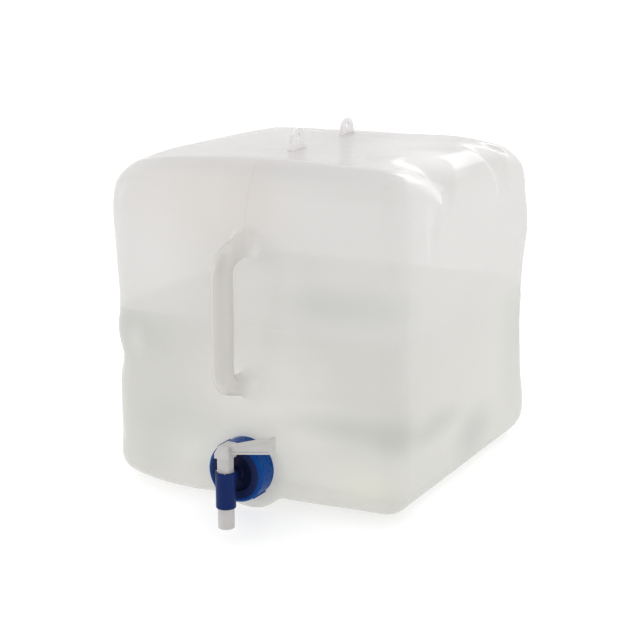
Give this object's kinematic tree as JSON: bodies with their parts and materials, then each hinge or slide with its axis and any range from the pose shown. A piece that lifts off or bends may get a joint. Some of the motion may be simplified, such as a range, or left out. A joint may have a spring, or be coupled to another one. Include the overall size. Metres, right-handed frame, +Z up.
{
  "type": "collapsible water container",
  "caption": "Collapsible cube-shaped water container in soft translucent plastic, with a moulded carrying handle, hanging eyelets and a screw-on tap with a quarter-turn lever.",
  "frame": {"origin": "middle of the flat underside that the full container rests on", "axes": "+Z up; the handle, the neck and the tap are on the -Y side, on the plane X = 0 where the mould's halves met; the lever points to +X at rest"},
  "size_m": [0.286, 0.3342, 0.321],
  "materials": {
    "tank_plastic": "soft translucent polyethylene, satin",
    "collar_plastic": "semi-gloss moulded blue",
    "tap_plastic": "semi-gloss moulded blue",
    "valve_plastic": "satin moulded white",
    "gasket_rubber": "matt"
  },
  "bodies": {
    "tank": {"tank_shell": "tank_plastic", "neck": "tank_plastic", "carry_handle": "tank_plastic", "front_eyelet": "tank_plastic", "rear_eyelet": "tank_plastic"},
    "tap": {"tap_body": "tap_plastic", "neck_gasket": "gasket_rubber"},
    "collar": {"screw_collar": "collar_plastic"},
    "valve": {"tap_plug": "valve_plastic", "tap_lever": "valve_plastic"}
  },
  "joints": [
    {"name": "tap_withdraw", "type": "slide", "parent": "tank", "child": "tap", "axis": [0, -1, 0], "range_m": [0, 0.0101]},
    {"name": "collar_spin", "type": "hinge", "parent": "tap", "child": "collar", "pos_m": [0, -0.156, 0.0285], "axis": [0, -1, 0], "range_deg": [0, 900]},
    {"name": "lever_turn", "type": "hinge", "parent": "tap", "child": "valve", "pos_m": [0, -0.1805, 0.0285], "axis": [0, 0, 1], "range_deg": [-90, 0]}
  ],
  "couplings": [
    {"joint": "tap_withdraw", "follows": "collar_spin", "m_per_rad": 0.00063662}
  ]
}
